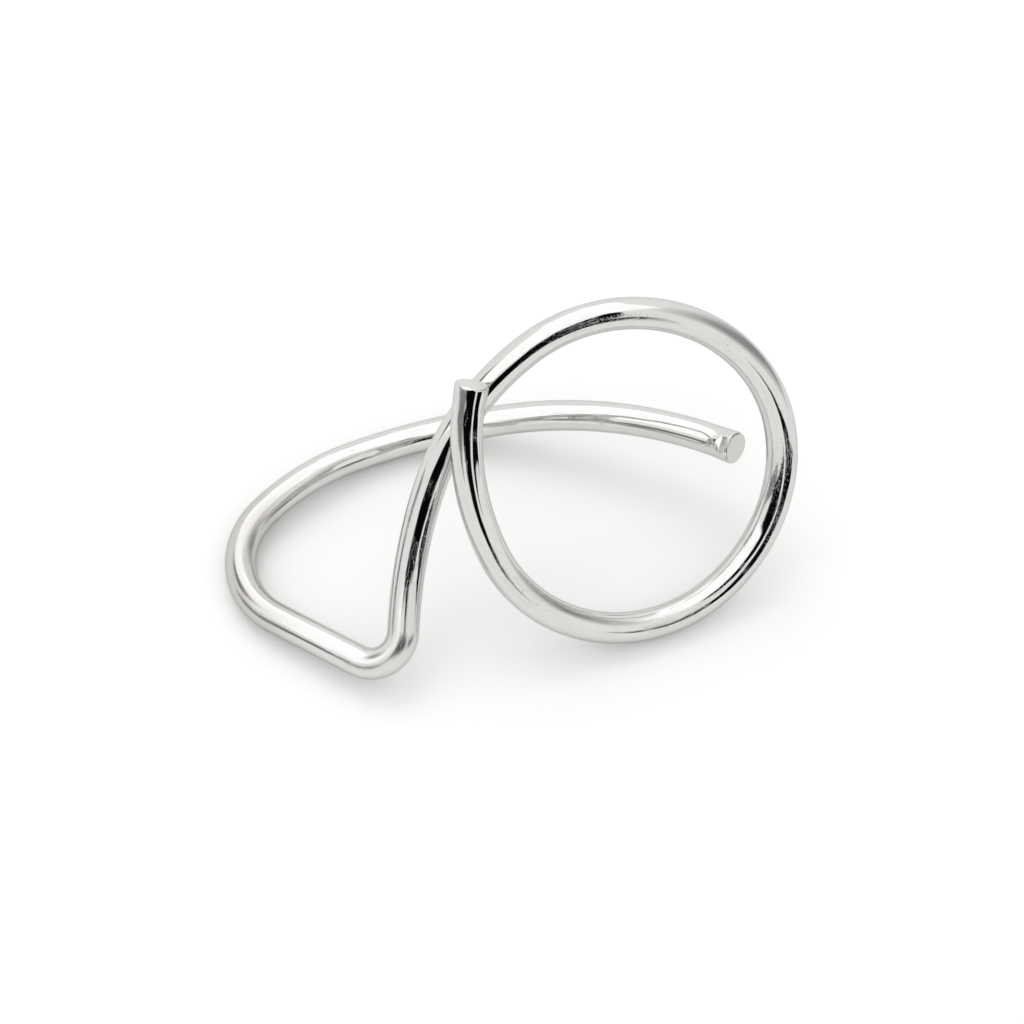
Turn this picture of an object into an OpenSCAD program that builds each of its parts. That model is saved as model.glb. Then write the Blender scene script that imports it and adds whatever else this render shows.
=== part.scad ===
// Bent-rod member of a metal disentanglement puzzle.
// One length of polished round rod, cold bent into an open hoop, a leg,
// a tight corner and a long hook that sweeps back behind the hoop.
// It is ONE physical piece. Every node is a stretch of that same rod and
// meets the next stretch on a plain flat section, with no gap or overlap.
// The rod is described the way a bender makes it: from the front cut end,
// each stretch has a bend radius, a bend angle and a roll of the bend plane
// about the rod, all relative to the stretch before it.

/* [Rod] */
// Diameter of the rod
rod_d = 4; // [3:0.1:6]
// Extra diameter of the sheared ends, upset by the cut
end_upset = 0.24; // [0:0.02:0.5]
// Length over which each end returns to the rod diameter
end_len = 1.4; // [0.8:0.1:3]
// Rounding of the rim of each cut face
end_rim = 0.3; // [0.1:0.05:0.6]

/* [Where the front end starts] */
// Front cut face, left to right
start_x = -4.39; // [-20:0.01:20]
// Front cut face, front to back
start_y = 5.15; // [-20:0.01:20]
// Front cut face, height of its centre above the floor
start_z = 31.25; // [10:0.01:60]
// Heading of the rod as it leaves the front cut face
start_heading = -105.2; // [-180:0.1:180]
// Tilt of the rod there, away from straight up
start_tilt = 140.3; // [0:0.1:180]
// Roll of the first bend plane
start_roll = 73.7; // [-180:0.1:180]

/* [Front stub] */
// Bend radius of the front stub
stub_r = 35; // [10:0.5:100]
// Bend angle of the front stub
stub_a = 34.5; // [5:0.5:90]

/* [Hoop] */
// Bend radius of the lower left quarter of the hoop
hoop_low_r = 19.4; // [10:0.1:30]
// Bend angle of the lower left quarter of the hoop
hoop_low_a = 105; // [30:0.5:120]
// Roll into the lower left quarter
hoop_low_roll = -13; // [-180:0.5:180]
// Bend radius of the right side of the hoop
hoop_side_r = 20.3; // [10:0.1:30]
// Bend angle of the right side of the hoop
hoop_side_a = 65; // [30:0.5:120]
// Roll into the right side
hoop_side_roll = 9; // [-180:0.5:180]
// Bend radius of the top of the hoop
hoop_top_r = 20; // [10:0.1:30]
// Bend angle of the top of the hoop
hoop_top_a = 115; // [60:0.5:180]
// Roll into the top of the hoop
hoop_top_roll = -14.5; // [-180:0.5:180]

/* [Crossover and leg] */
// Bend radius where the rod leaves the hoop behind the front stub
cross_r = 36; // [15:0.5:80]
// Bend angle of the crossover
cross_a = 33; // [10:0.5:90]
// Roll into the crossover
cross_roll = 12; // [-180:0.5:180]
// Bend radius of the nearly straight leg
leg_r = 47; // [30:1:300]
// Bend angle of the leg
leg_a = 23; // [1:0.5:60]
// Roll into the leg
leg_roll = 47.5; // [-180:0.5:180]

/* [Corner and base bar] */
// Bend radius of the tight corner at the foot of the leg
corner_r = 4.3; // [2.5:0.1:10]
// Bend angle of the tight corner
corner_a = 112.5; // [60:0.5:150]
// Roll into the corner
corner_roll = 156.5; // [-180:0.5:180]
// Length of the straight base bar
bar_len = 12.5; // [4:0.1:40]

/* [Side bend and back arc] */
// Bend radius of the side bend
side_r = 10.1; // [5:0.1:20]
// Bend angle of the side bend
side_a = 101; // [60:0.5:180]
// Roll into the side bend
side_roll = 31; // [-180:0.5:180]
// Bend radius of the open end of the side bend
turn_r = 35; // [8:0.1:60]
// Bend angle of the open end of the side bend
turn_a = 23; // [5:0.5:90]
// Roll into the open end of the side bend
turn_roll = 34; // [-180:0.5:180]
// Bend radius of the left part of the back arc
back_r = 31; // [10:0.5:150]
// Bend angle of the left part of the back arc
back_a = 37.5; // [5:0.5:90]
// Roll into the back arc
back_roll = -71; // [-180:0.5:180]
// Bend radius of the long right part of the back arc
tail_r = 61; // [20:0.5:150]
// Bend angle of the long right part of the back arc
tail_a = 26; // [5:0.5:90]
// Roll into the long right part of the back arc
tail_roll = 55.5; // [-180:0.5:180]
// Bend radius of the short tip, pushed over when the end was cut
tip_r = 12; // [5:0.5:60]
// Bend angle of the short tip
tip_a = 17; // [2:0.5:60]
// Roll into the short tip
tip_roll = -71.5; // [-180:0.5:180]

/* [Hidden] */
$fn = 48;
steel = [0.80, 0.80, 0.79];
end_r = rod_d / 2 + end_upset / 2;

// ---- one stretch of rod: starts at the origin heading +Z, bends toward +X

module bent(radius, angle) {
  translate([radius, 0, 0])
    rotate([90, 0, 180])
      rotate_extrude(angle = angle, $fn = 180)
        translate([radius, 0])
          circle(d = rod_d);
}

// moves its children to the far end of a bent stretch
module past(radius, angle) {
  translate([radius * (1 - cos(angle)), 0, radius * sin(angle)])
    rotate([0, angle, 0])
      children();
}

module roll(angle) {
  rotate([0, 0, angle])
    children();
}

// a sheared end: face at z = 0, rounded rim, slightly upset, rod above it
module cut_end() {
  color(steel)
    rotate_extrude()
      union() {
        polygon([[0, 0], [end_r - end_rim, 0], [end_r - end_rim, end_rim],
                 [end_r, end_rim], [rod_d / 2, end_len], [0, end_len]]);
        intersection() {
          translate([end_r - end_rim, end_rim])
            circle(r = end_rim);
          translate([end_r - end_rim, 0])
            square(end_rim);
        }
      }
}

// ---- frames, one after the other along the rod

module at_start() {
  translate([start_x, start_y, start_z])
    rotate([0, start_tilt, start_heading])
      roll(start_roll)
        children();
}

module at_stub() {
  at_start()
    translate([0, 0, end_len])
      children();
}

module at_hoop_low() {
  at_stub()
    past(stub_r, stub_a)
      roll(hoop_low_roll)
        children();
}

module at_hoop_side() {
  at_hoop_low()
    past(hoop_low_r, hoop_low_a)
      roll(hoop_side_roll)
        children();
}

module at_hoop_top() {
  at_hoop_side()
    past(hoop_side_r, hoop_side_a)
      roll(hoop_top_roll)
        children();
}

module at_crossover() {
  at_hoop_top()
    past(hoop_top_r, hoop_top_a)
      roll(cross_roll)
        children();
}

module at_leg() {
  at_crossover()
    past(cross_r, cross_a)
      roll(leg_roll)
        children();
}

module at_corner() {
  at_leg()
    past(leg_r, leg_a)
      roll(corner_roll)
        children();
}

module at_bar() {
  at_corner()
    past(corner_r, corner_a)
      children();
}

module at_side() {
  at_bar()
    translate([0, 0, bar_len])
      roll(side_roll)
        children();
}

module at_turn() {
  at_side()
    past(side_r, side_a)
      roll(turn_roll)
        children();
}

module at_back() {
  at_turn()
    past(turn_r, turn_a)
      roll(back_roll)
        children();
}

module at_tail() {
  at_back()
    past(back_r, back_a)
      roll(tail_roll)
        children();
}

module at_tip() {
  at_tail()
    past(tail_r, tail_a)
      roll(tip_roll)
        children();
}

module at_finish() {
  at_tip()
    past(tip_r, tip_a)
      children();
}

// ---- the stretches

module front_end() {
  at_start()
    cut_end();
}

module front_stub() {
  at_stub()
    color(steel)
      bent(stub_r, stub_a);
}

module hoop_lower() {
  at_hoop_low()
    color(steel)
      bent(hoop_low_r, hoop_low_a);
}

module hoop_side() {
  at_hoop_side()
    color(steel)
      bent(hoop_side_r, hoop_side_a);
}

module hoop_top() {
  at_hoop_top()
    color(steel)
      bent(hoop_top_r, hoop_top_a);
}

module crossover() {
  at_crossover()
    color(steel)
      bent(cross_r, cross_a);
}

module leg() {
  at_leg()
    color(steel)
      bent(leg_r, leg_a);
}

module corner() {
  at_corner()
    color(steel)
      bent(corner_r, corner_a);
}

module base_bar() {
  at_bar()
    color(steel)
      cylinder(d = rod_d, h = bar_len);
}

module side_bend() {
  at_side()
    color(steel)
      bent(side_r, side_a);
}

module side_turn() {
  at_turn()
    color(steel)
      bent(turn_r, turn_a);
}

module back_arc() {
  at_back()
    color(steel)
      bent(back_r, back_a);
}

module back_tail() {
  at_tail()
    color(steel)
      bent(tail_r, tail_a);
}

module back_tip() {
  at_tip()
    color(steel)
      bent(tip_r, tip_a);
}

module back_end() {
  at_finish()
    translate([0, 0, end_len])
      rotate([180, 0, 0])
        cut_end();
}

front_end();
front_stub();
hoop_lower();
hoop_side();
hoop_top();
crossover();
leg();
corner();
base_bar();
side_bend();
side_turn();
back_arc();
back_tail();
back_tip();
back_end();
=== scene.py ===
import math

import bpy
import numpy as np
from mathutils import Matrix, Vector, noise


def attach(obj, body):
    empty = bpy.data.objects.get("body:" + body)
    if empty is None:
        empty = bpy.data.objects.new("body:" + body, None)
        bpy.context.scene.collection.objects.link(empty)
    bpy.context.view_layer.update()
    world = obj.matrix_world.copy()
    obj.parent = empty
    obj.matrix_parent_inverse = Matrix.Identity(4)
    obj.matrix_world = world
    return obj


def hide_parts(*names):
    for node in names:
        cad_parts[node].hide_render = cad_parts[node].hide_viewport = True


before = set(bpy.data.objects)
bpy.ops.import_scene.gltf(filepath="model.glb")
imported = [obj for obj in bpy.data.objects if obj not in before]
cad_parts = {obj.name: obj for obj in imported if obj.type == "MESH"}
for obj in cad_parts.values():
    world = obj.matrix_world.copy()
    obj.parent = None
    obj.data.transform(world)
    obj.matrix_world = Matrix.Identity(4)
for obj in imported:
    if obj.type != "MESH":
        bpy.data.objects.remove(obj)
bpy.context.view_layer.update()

MM = 0.001

# ------------------------------------------------------------------ bend table
# The same table as the CAD part's: every stretch is (radius, angle, roll), in mm
# and degrees, and a stretch with radius None is straight, with its length.
ROD_R = 2.0
END_LEN = 1.4  # straight metal at each cut end
END_RIM = 0.3  # radius of the rounded rim of a cut face
END_UPSET = 0.12  # how much the shear swelled the rod at its ends, on the radius
UPSET_LEN = 4.0
START = (-4.39, 5.15, 31.25)
START_HEADING, START_TILT, START_ROLL = -105.2, 140.3, 73.7
STRETCHES = [
    ("front_stub", 35.0, 34.5, 0.0),
    ("hoop_lower", 19.4, 105.0, -13.0),
    ("hoop_side", 20.3, 65.0, 9.0),
    ("hoop_top", 20.0, 115.0, -14.5),
    ("crossover", 36.0, 33.0, 12.0),
    ("leg", 47.0, 23.0, 47.5),
    ("corner", 4.3, 112.5, 156.5),
    ("base_bar", None, 12.5, 0.0),
    ("side_bend", 10.1, 101.0, 31.0),
    ("side_turn", 35.0, 23.0, 34.0),
    ("back_arc", 31.0, 37.5, -71.0),
    ("back_tail", 61.0, 26.0, 55.5),
    ("back_tip", 12.0, 17.0, -71.5),
]

# The flat that the cutter's jaw pressed into the rod beside the back end.
FLAT_START, FLAT_END = 0.45, 1.8  # from the back face
FLAT_DEPTH = 1.80  # from the rod's middle to the flat
FLAT_TURN = math.radians(-25.0)
FLAT_REACH = 0.3  # cosine of the angle past which the flat doesn't touch the rod
FLAT_RISE_TO_FACE, FLAT_RISE_TO_ROD = 0.9, 0.5  # slopes out of the flat
FLAT_RUN_OUT = 0.5

# How uneven the drawn rod is, on the radius: a slow and a quick waviness.
SLOW_WAVE, QUICK_WAVE = 0.012, 0.004
FACE_DISH = 0.05

SIDES = 96
STEP = 0.25
END_STEPS = 14
FACE_RINGS = 12


def turn(v, axis, angle):
    """v turned about a unit axis."""
    c, s = math.cos(angle), math.sin(angle)
    return v * c + np.cross(axis, v) * s + axis * (axis @ v) * (1 - c)


def centreline():
    """Points, tangents and distances along the rod, and where each stretch starts, from face to face."""
    head, tilt, roll = (math.radians(a) for a in (START_HEADING, START_TILT, START_ROLL))
    tangent = np.array([math.sin(tilt) * math.cos(head), math.sin(tilt) * math.sin(head), math.cos(tilt)])
    down = np.array([math.cos(head) * math.cos(tilt), math.sin(head) * math.cos(tilt), -math.sin(tilt)])
    side = np.array([-math.sin(head), math.cos(head), 0.0])
    normal = math.cos(roll) * down + math.sin(roll) * side
    place = np.array(START)
    points, tangents, along, starts = [], [], [], {}
    gone = 0.0

    def straight(length, steps):
        nonlocal place, gone
        for k in range(steps):
            d = length * k / steps
            points.append(place + d * tangent)
            tangents.append(tangent.copy())
            along.append(gone + d)
        place = place + length * tangent
        gone += length

    straight(END_LEN, END_STEPS)
    for name, radius, amount, rolled in STRETCHES:
        starts[name] = gone
        if radius is None:
            straight(amount, int(amount / STEP))
            continue
        normal = turn(normal, tangent, math.radians(rolled))
        full = math.radians(amount)
        steps = int(math.ceil(radius * full / STEP))
        for k in range(steps):
            a = full * k / steps
            points.append(place + radius * math.sin(a) * tangent + radius * (1 - math.cos(a)) * normal)
            tangents.append(math.cos(a) * tangent + math.sin(a) * normal)
            along.append(gone + radius * a)
        place = place + radius * math.sin(full) * tangent + radius * (1 - math.cos(full)) * normal
        tangent, normal = (
            math.cos(full) * tangent + math.sin(full) * normal,
            -math.sin(full) * tangent + math.cos(full) * normal,
        )
        gone += radius * full
    starts["back_end"] = gone
    straight(END_LEN, END_STEPS)
    points.append(place)
    tangents.append(tangent)
    along.append(gone)
    return np.array(points), np.array(tangents), np.array(along), starts


POINTS, TANGENTS, ALONG, STARTS = centreline()
LENGTH = float(ALONG[-1])


def carried_frames():
    """A direction across the rod at every point, carried along without twist."""
    first = np.cross(TANGENTS[0], [0.0, 0.0, 1.0])
    across = [first / np.linalg.norm(first)]
    for k in range(1, len(POINTS)):
        v = across[-1] - TANGENTS[k] * (across[-1] @ TANGENTS[k])
        across.append(v / np.linalg.norm(v))
    return np.array(across)


ACROSS = carried_frames()
OTHER = np.cross(TANGENTS, ACROSS)


def tool_flat(s, theta):
    """How far out the flat beside the back end lets the rod reach, s mm from the front face."""
    facing = math.cos(theta - FLAT_TURN)
    if facing < FLAT_REACH:
        return math.inf
    from_end = LENGTH - s
    depth = FLAT_DEPTH
    if from_end < FLAT_START:
        depth += (FLAT_START - from_end) * FLAT_RISE_TO_FACE
    elif from_end > FLAT_END - FLAT_RUN_OUT:
        depth += (from_end - FLAT_END + FLAT_RUN_OUT) * FLAT_RISE_TO_ROD
    return depth / facing


def rod_radius(s, theta):
    """Radius of the rod at s mm from the front face, uneven by a few hundredths of a millimetre."""
    from_end = min(s, LENGTH - s)
    grown = END_UPSET * (0.5 + 0.5 * math.cos(math.pi * min(1.0, from_end / UPSET_LEN)))
    r = ROD_R + grown
    if from_end < END_RIM:
        r -= END_RIM * (1 - math.sqrt(max(0.0, 1 - (1 - from_end / END_RIM) ** 2)))
    c, d = math.cos(theta), math.sin(theta)
    if LENGTH - s < FLAT_END:
        r = min(r, tool_flat(s, theta))
    r -= SLOW_WAVE * (0.5 + 0.5 * noise.noise(Vector((s * 0.16, c * 0.9, d * 0.9 + 4.0))))
    r -= QUICK_WAVE * (0.5 + 0.5 * noise.noise(Vector((s * 0.55, c * 1.6 + 9.0, d * 1.6))))
    return r


def build_rod():
    verts, coords, faces = [], [], []
    thetas = [2 * math.pi * j / SIDES for j in range(SIDES)]
    for k, (p, a, o, s) in enumerate(zip(POINTS, ACROSS, OTHER, ALONG)):
        for t in thetas:
            r = rod_radius(float(s), t)
            verts.append(p + r * (math.cos(t) * a + math.sin(t) * o))
            coords.append((float(s), ROD_R * math.cos(t), ROD_R * math.sin(t)))
    for k in range(len(POINTS) - 1):
        for j in range(SIDES):
            n = (j + 1) % SIDES
            faces.append((k * SIDES + j, k * SIDES + n, (k + 1) * SIDES + n, (k + 1) * SIDES + j))
    return verts, coords, faces


def mesh_object(name, verts, coords, faces, material):
    mesh = bpy.data.meshes.new(name)
    mesh.from_pydata([tuple(np.asarray(v) * MM) for v in verts], [], faces)
    spot = mesh.attributes.new("rod_place", "FLOAT_VECTOR", "POINT")
    spot.data.foreach_set("vector", np.array(coords, np.float32).ravel())
    mesh.polygons.foreach_set("use_smooth", [True] * len(mesh.polygons))
    mesh.materials.append(material)
    mesh.update()
    obj = bpy.data.objects.new(name, mesh)
    bpy.context.scene.collection.objects.link(obj)
    return obj


# ------------------------------------------------------------------- materials
def new_material(name):
    mat = bpy.data.materials.new(name)
    mat.use_nodes = True
    tree = mat.node_tree
    tree.nodes.clear()
    out = tree.nodes.new("ShaderNodeOutputMaterial")
    bsdf = tree.nodes.new("ShaderNodeBsdfPrincipled")
    tree.links.new(bsdf.outputs["BSDF"], out.inputs["Surface"])
    return mat, tree, bsdf


class Nodes:
    """Short names for the nodes that the materials share."""

    def __init__(self, tree):
        self.tree = tree

    def add(self, kind, **settings):
        node = self.tree.nodes.new(kind)
        for key, value in settings.items():
            setattr(node, key, value)
        return node

    def link(self, source, target):
        self.tree.links.new(source, target)

    def place(self, scale):
        """The rod's own coordinates, along it and round it in mm, stretched by scale."""
        spot = self.add("ShaderNodeAttribute", attribute_name="rod_place")
        stretch = self.add("ShaderNodeVectorMath", operation="MULTIPLY")
        stretch.inputs[1].default_value = scale
        self.link(spot.outputs["Vector"], stretch.inputs[0])
        return stretch.outputs["Vector"]

    def noise(self, scale, detail=3.0, rough=0.55, size=1.0):
        node = self.add("ShaderNodeTexNoise")
        node.inputs["Scale"].default_value = size
        node.inputs["Detail"].default_value = detail
        node.inputs["Roughness"].default_value = rough
        self.link(self.place(scale), node.inputs["Vector"])
        return node.outputs["Fac"]

    def range(self, value, low, high, to_low, to_high):
        node = self.add("ShaderNodeMapRange", clamp=True)
        node.inputs["From Min"].default_value = low
        node.inputs["From Max"].default_value = high
        node.inputs["To Min"].default_value = to_low
        node.inputs["To Max"].default_value = to_high
        self.link(value, node.inputs["Value"])
        return node.outputs["Result"]

    def math(self, operation, a, b):
        node = self.add("ShaderNodeMath", operation=operation)
        for socket, value in zip(node.inputs, (a, b)):
            if isinstance(value, (int, float)):
                socket.default_value = value
            else:
                self.link(value, socket)
        return node.outputs["Value"]

    def blend(self, amount, first, second):
        node = self.add("ShaderNodeMix", data_type="RGBA")
        self.link(amount, node.inputs["Factor"])
        node.inputs["A"].default_value = (*first, 1.0)
        node.inputs["B"].default_value = (*second, 1.0)
        return node.outputs["Result"]

    def scratches(self, scale, turned, width, keep):
        """Thin lines, 1 on a line and 0 off it, at an angle to the rod, over part of its surface."""
        spin = self.add("ShaderNodeVectorRotate", rotation_type="X_AXIS")
        spin.inputs["Angle"].default_value = turned
        self.link(self.place(scale), spin.inputs["Vector"])
        cells = self.add("ShaderNodeTexVoronoi", feature="DISTANCE_TO_EDGE")
        cells.inputs["Scale"].default_value = 1.0
        self.link(spin.outputs["Vector"], cells.inputs["Vector"])
        line = self.range(cells.outputs["Distance"], 0.0, width, 1.0, 0.0)
        where = self.range(self.noise((0.21, 0.35, 0.35), 2.0), 0.5, 0.5 + keep, 0.0, 1.0)
        return self.math("MULTIPLY", line, where)


def polished_rod():
    mat, tree, bsdf = new_material("polished_rod")
    n = Nodes(tree)
    drawn = n.noise((0.05, 9.0, 9.0), 4.0, 0.6)
    smear = n.noise((0.35, 1.1, 1.1), 3.0, 0.5)
    grime = n.noise((1.4, 2.2, 2.2), 4.0, 0.62)
    lines = n.scratches((0.10, 3.2, 3.2), 0.3, 0.018, 0.14)
    fine = n.scratches((0.42, 1.5, 1.5), 1.1, 0.010, 0.10)
    marks = n.math("MAXIMUM", lines, fine)

    tint = n.blend(n.range(smear, 0.3, 0.7, 0.0, 1.0), (0.66, 0.655, 0.645), (0.70, 0.695, 0.685))
    # The side bend's base colour is darkened towards a dull beige. Part of this is a duller, worked polish;
    # part is painted shade standing in for the dimmer reflection there.
    dull_and_shade = n.add("ShaderNodeAttribute", attribute_name="rod_dull_and_shade").outputs["Fac"]
    duller_and_shaded = n.add("ShaderNodeMix", data_type="RGBA")
    n.link(n.math("MULTIPLY", dull_and_shade, 0.85), duller_and_shaded.inputs["Factor"])
    n.link(tint, duller_and_shaded.inputs["A"])
    duller_and_shaded.inputs["B"].default_value = (0.565, 0.552, 0.527, 1.0)
    n.link(duller_and_shaded.outputs["Result"], bsdf.inputs["Base Color"])
    bsdf.inputs["Metallic"].default_value = 1.0
    bsdf.inputs["Specular Tint"].default_value = (0.72, 0.72, 0.72, 1.0)

    pitted = n.math(
        "MULTIPLY",
        n.range(n.noise((4.6, 4.6, 4.6), 2.0, 0.6), 0.56, 0.70, 0.0, 1.0),
        n.range(n.noise((0.085, 0.5, 0.5), 1.0, 0.4), 0.54, 0.66, 0.0, 1.0),
    )
    wavy = n.noise((0.22, 0.8, 0.8), 1.0, 0.4)

    base = n.range(smear, 0.25, 0.75, 0.02, 0.05)
    base = n.math("ADD", base, n.range(grime, 0.55, 0.8, 0.0, 0.04))
    strained = n.add("ShaderNodeAttribute", attribute_name="rod_strain")
    base = n.math("ADD", base, n.math("MULTIPLY", strained.outputs["Fac"], 0.20))
    base = n.math("ADD", base, n.math("MULTIPLY", dull_and_shade, 0.17))
    rough = n.math("ADD", base, n.math("MULTIPLY", marks, 0.16))
    n.link(rough, bsdf.inputs["Roughness"])

    height = n.math("ADD", n.math("MULTIPLY", drawn, 0.08), n.math("MULTIPLY", marks, -0.35))
    height = n.math("ADD", height, n.math("MULTIPLY", pitted, -0.4))
    height = n.math("ADD", height, n.math("MULTIPLY", wavy, 3.0))
    bump = n.add("ShaderNodeBump")
    bump.inputs["Strength"].default_value = 1.0
    bump.inputs["Distance"].default_value = 0.000012
    n.link(height, bump.inputs["Height"])
    n.link(bump.outputs["Normal"], bsdf.inputs["Normal"])
    return mat


def sheared_face():
    mat, tree, bsdf = new_material("sheared_face")
    n = Nodes(tree)
    grain = n.noise((3.0, 5.0, 5.0), 5.0, 0.65)
    drag = n.noise((1.0, 9.0, 0.9), 3.0, 0.55)
    tint = n.blend(n.range(grain, 0.3, 0.7, 0.0, 1.0), (0.61, 0.595, 0.56), (0.71, 0.695, 0.66))
    n.link(tint, bsdf.inputs["Base Color"])
    bsdf.inputs["Metallic"].default_value = 1.0
    n.link(n.range(drag, 0.3, 0.7, 0.32, 0.5), bsdf.inputs["Roughness"])
    height = n.math("ADD", n.math("MULTIPLY", grain, 0.5), n.math("MULTIPLY", drag, 0.5))
    bump = n.add("ShaderNodeBump")
    bump.inputs["Strength"].default_value = 0.35
    bump.inputs["Distance"].default_value = 0.00002
    n.link(height, bump.inputs["Height"])
    n.link(bump.outputs["Normal"], bsdf.inputs["Normal"])
    return mat


ROD = polished_rod()
FACE = sheared_face()

rod = mesh_object("bent_rod", *build_rod(), ROD)


def stretch_weight(s, first, after, before, beyond):
    """How dull the polish is at s mm, and on the side bend also how much painted shade darkens it: 1 from the
    start of one stretch to the start of another, fading over the given lengths on either side."""
    start, end = STARTS[first], STARTS[after]
    outside = max((start - s) / before, (s - end) / beyond, 0.0)
    return max(0.0, 1.0 - outside) ** 1.5


# rod_strain only roughens the corner; the side-bend attribute roughens the side bend and darkens its colour
# with painted shade.
for label, span in (
    ("rod_strain", ("corner", "base_bar", 9.0, 4.0)),
    ("rod_dull_and_shade", ("side_bend", "side_turn", 7.0, 7.0)),
):
    spread = rod.data.attributes.new(label, "FLOAT", "POINT")
    values = [stretch_weight(float(s), *span) for s in ALONG]
    spread.data.foreach_set("value", np.repeat(values, SIDES).astype(np.float32))
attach(rod, "root")
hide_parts(*[name for name, *_ in STRETCHES])


def build_face(at_start):
    """The sheared face: a shallow, uneven dished disc inside the rod's rounded rim."""
    k = 0 if at_start else len(POINTS) - 1
    out = -TANGENTS[k] if at_start else TANGENTS[k]
    s = 0.0 if at_start else LENGTH
    verts, coords, faces = [], [], []
    for i in range(FACE_RINGS + 1):
        for j in range(SIDES):
            t = 2 * math.pi * j / SIDES
            r = rod_radius(s, t) * i / FACE_RINGS
            y, z = r * math.cos(t), r * math.sin(t)
            uneven = 0.5 + 0.5 * noise.noise(Vector((y * 0.9, z * 0.9, s)))
            sunk = FACE_DISH * uneven * (1 - (i / FACE_RINGS) ** 4)
            verts.append(POINTS[k] + y * ACROSS[k] + z * OTHER[k] - sunk * out)
            coords.append((s, y, z))
    for i in range(FACE_RINGS):
        for j in range(SIDES):
            n = (j + 1) % SIDES
            quad = (i * SIDES + j, (i + 1) * SIDES + j, (i + 1) * SIDES + n, i * SIDES + n)
            faces.append(quad if not at_start else quad[::-1])
    return verts, coords, faces


for name, at_start in (("front_cut_face", True), ("back_cut_face", False)):
    face = mesh_object(name, *build_face(at_start), FACE)
    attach(face, "root")
    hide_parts("front_end" if at_start else "back_end")

# ---------------------------------------------------------------------- studio
FLOOR_HALF = 1.2  # metres
CARD_CENTRE = Vector((0.0, 0.0, 15.0))
DARK = 0.003  # radiance of a black card
WORLD_GLOW = 1.05


def card_material(name, radiance, feather):
    """An even glow that fades out to clear over the feather's share of the card's half width."""
    mat = bpy.data.materials.new(name)
    mat.use_nodes = True
    tree = mat.node_tree
    tree.nodes.clear()
    n = Nodes(tree)
    out = n.add("ShaderNodeOutputMaterial")
    glow = n.add("ShaderNodeEmission")
    glow.inputs["Strength"].default_value = radiance
    clear = n.add("ShaderNodeBsdfTransparent")
    across = n.add("ShaderNodeUVMap", uv_map="card")
    parts = n.add("ShaderNodeSeparateXYZ")
    n.link(across.outputs["UV"], parts.inputs["Vector"])
    edges = []
    for axis in ("X", "Y"):
        off = n.math("ABSOLUTE", n.math("SUBTRACT", parts.outputs[axis], 0.5), 0.0)
        edges.append(n.range(off, 0.5 - feather / 2, 0.5, 1.0, 0.0))
    mix = n.add("ShaderNodeMixShader")
    n.link(n.math("MULTIPLY", edges[0], edges[1]), mix.inputs["Fac"])
    n.link(clear.outputs["BSDF"], mix.inputs[1])
    n.link(glow.outputs["Emission"], mix.inputs[2])
    n.link(mix.outputs["Shader"], out.inputs["Surface"])
    return mat


def make_floor():
    mat, tree, bsdf = new_material("paper_floor")
    bsdf.inputs["Base Color"].default_value = (0.90, 0.90, 0.90, 1.0)
    bsdf.inputs["Roughness"].default_value = 0.9
    bsdf.inputs["Specular IOR Level"].default_value = 0.1
    mesh = bpy.data.meshes.new("floor")
    h = FLOOR_HALF
    mesh.from_pydata([(-h, -h, 0), (h, -h, 0), (h, h, 0), (-h, h, 0)], [], [(0, 1, 2, 3)])
    mesh.materials.append(mat)
    floor = bpy.data.objects.new("floor", mesh)
    bpy.context.scene.collection.objects.link(floor)


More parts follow.
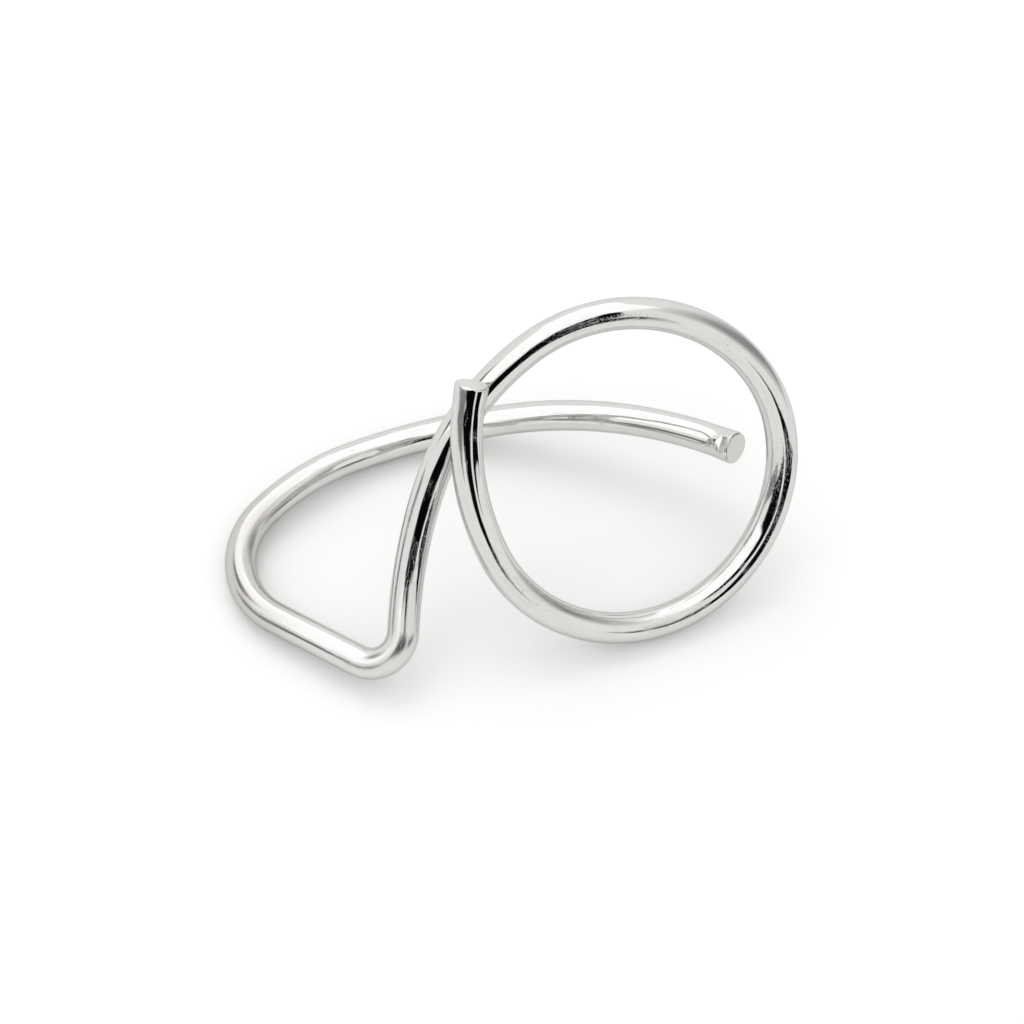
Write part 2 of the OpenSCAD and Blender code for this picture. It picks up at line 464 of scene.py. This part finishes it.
def card(
    name, azimuth, elevation, distance, width, height, radiance, slant=0.0, feather=0.12, lights_floor=False
):
    """A flat card that faces the object, in mm and degrees, and shows only in its reflections, unless it lights
    the floor too. Azimuth 0 is +Y and 90 is +X. A radiance near 0 makes it a black card."""
    a, e, q = (math.radians(v) for v in (azimuth, elevation, slant))
    way = Vector((math.sin(a) * math.cos(e), math.cos(a) * math.cos(e), math.sin(e)))
    level = Vector((math.cos(a), -math.sin(a), 0.0))
    rise = way.cross(level)
    if rise.z < 0:
        rise = -rise
    u = math.cos(q) * level + math.sin(q) * rise
    v = math.cos(q) * rise - math.sin(q) * level
    centre = CARD_CENTRE + way * distance
    signs = ((-1, -1), (1, -1), (1, 1), (-1, 1))
    corners = [centre + i * u * width / 2 + j * v * height / 2 for i, j in signs]
    mesh = bpy.data.meshes.new(name)
    mesh.from_pydata([tuple(c * MM) for c in corners], [], [(0, 1, 2, 3)])
    spread = mesh.uv_layers.new(name="card")
    spread.data.foreach_set("uv", [0, 0, 1, 0, 1, 1, 0, 1])
    mesh.materials.append(card_material(name + "_card", radiance, feather))
    obj = bpy.data.objects.new(name, mesh)
    bpy.context.scene.collection.objects.link(obj)
    obj.visible_camera = False
    obj.visible_diffuse = lights_floor
    obj.visible_shadow = lights_floor


make_floor()
# name, azimuth, elevation, distance, width, height, radiance
card("top_light", -89, 74, 380, 650, 535, 1.45, slant=33)
card("back_softbox", -20, 55, 700, 520, 460, 2.7, feather=0.3, lights_floor=True)
card("grey_behind_left", -120, 12, 440, 610, 145, 0.27, slant=-13, feather=0.3)
card("dark_front", 181.5, 31, 120, 140, 55, DARK, slant=13.5, feather=0.2)
card("dark_low", 120, -2.5, 122, 134, 34, DARK, slant=35)
card("dark_camera", 171, 45, 685, 260, 575, DARK, slant=4)
card("grey_right", 69, 17, 120, 130, 300, 0.36, slant=-25, feather=0.8)
card("grey_left", -79, 30, 120, 54, 52, 0.10, feather=0.5)

world = bpy.data.worlds.new("studio")
bpy.context.scene.world = world
world.use_nodes = True
back = world.node_tree.nodes["Background"]
back.inputs["Color"].default_value = (1.0, 1.0, 0.99, 1.0)
back.inputs["Strength"].default_value = WORLD_GLOW

# ---------------------------------------------------------------------- camera
AIM = Vector((0.4, 6.45, 0.0)) * MM
CAMERA_ELEVATION = 58.0
CAMERA_DISTANCE = 385.1 * MM
CAMERA_LENS = 104.52
e = math.radians(CAMERA_ELEVATION)
away = Vector((0.0, -math.cos(e), math.sin(e)))
data = bpy.data.cameras.new("camera")
data.sensor_width = 36.0
data.lens = CAMERA_LENS
camera = bpy.data.objects.new("camera", data)
bpy.context.scene.collection.objects.link(camera)
camera.location = AIM + away * CAMERA_DISTANCE
camera.rotation_mode = "QUATERNION"
camera.rotation_quaternion = (-away).to_track_quat("-Z", "Y")
camera.data.clip_start, camera.data.clip_end = 0.01, 20.0
bpy.context.scene.camera = camera

scene = bpy.context.scene
scene.view_settings.view_transform = "Standard"
scene.view_settings.look = "None"
scene.view_settings.exposure = 0.0
scene.view_settings.gamma = 1.0
